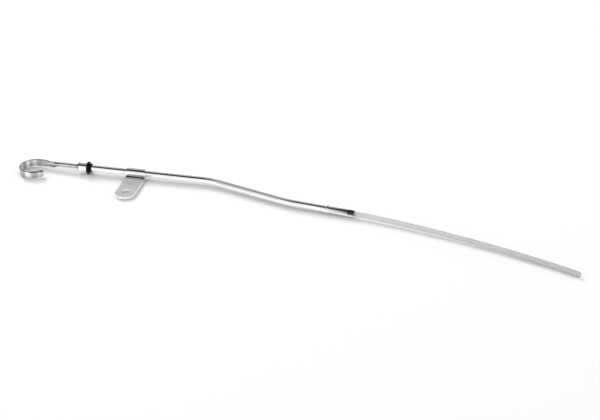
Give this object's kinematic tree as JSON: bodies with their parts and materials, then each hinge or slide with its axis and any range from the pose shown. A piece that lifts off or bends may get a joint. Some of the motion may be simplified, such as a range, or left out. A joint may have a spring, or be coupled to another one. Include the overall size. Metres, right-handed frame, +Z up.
{
  "type": "engine oil dipstick",
  "caption": "Chromed engine oil dipstick seated in its bent guide tube, with an open loop handle, capped rubber seal, folded strap bracket and long springy steel blade.",
  "frame": {"origin": "centre of the bounding box in plan, on the floor", "axes": "+X along the upper run of the tube towards the blade's tip, +Z up as the part lies, +Y away from the bracket's tab"},
  "size_m": [0.6746, 0.1336, 0.0148],
  "materials": {
    "tube_chrome": "polished plating, dark bare steel at the lower end",
    "bracket_chrome": "polished plating",
    "handle_chrome": "polished plating, dulled on the loop",
    "seal_rubber": "matte black",
    "blade_steel": "satin spring steel"
  },
  "bodies": {
    "tube": {"guide_tube": "tube_chrome", "bracket": "bracket_chrome"},
    "dipstick": {"handle": "handle_chrome", "cap": "handle_chrome", "seal": "seal_rubber", "blade": "blade_steel"}
  },
  "joints": [
    {"name": "dipstick_draw", "type": "slide", "parent": "tube", "child": "dipstick", "axis": [-1, 0, 0.009], "range_m": [0, 0.6], "deforming": ["blade"]}
  ]
}
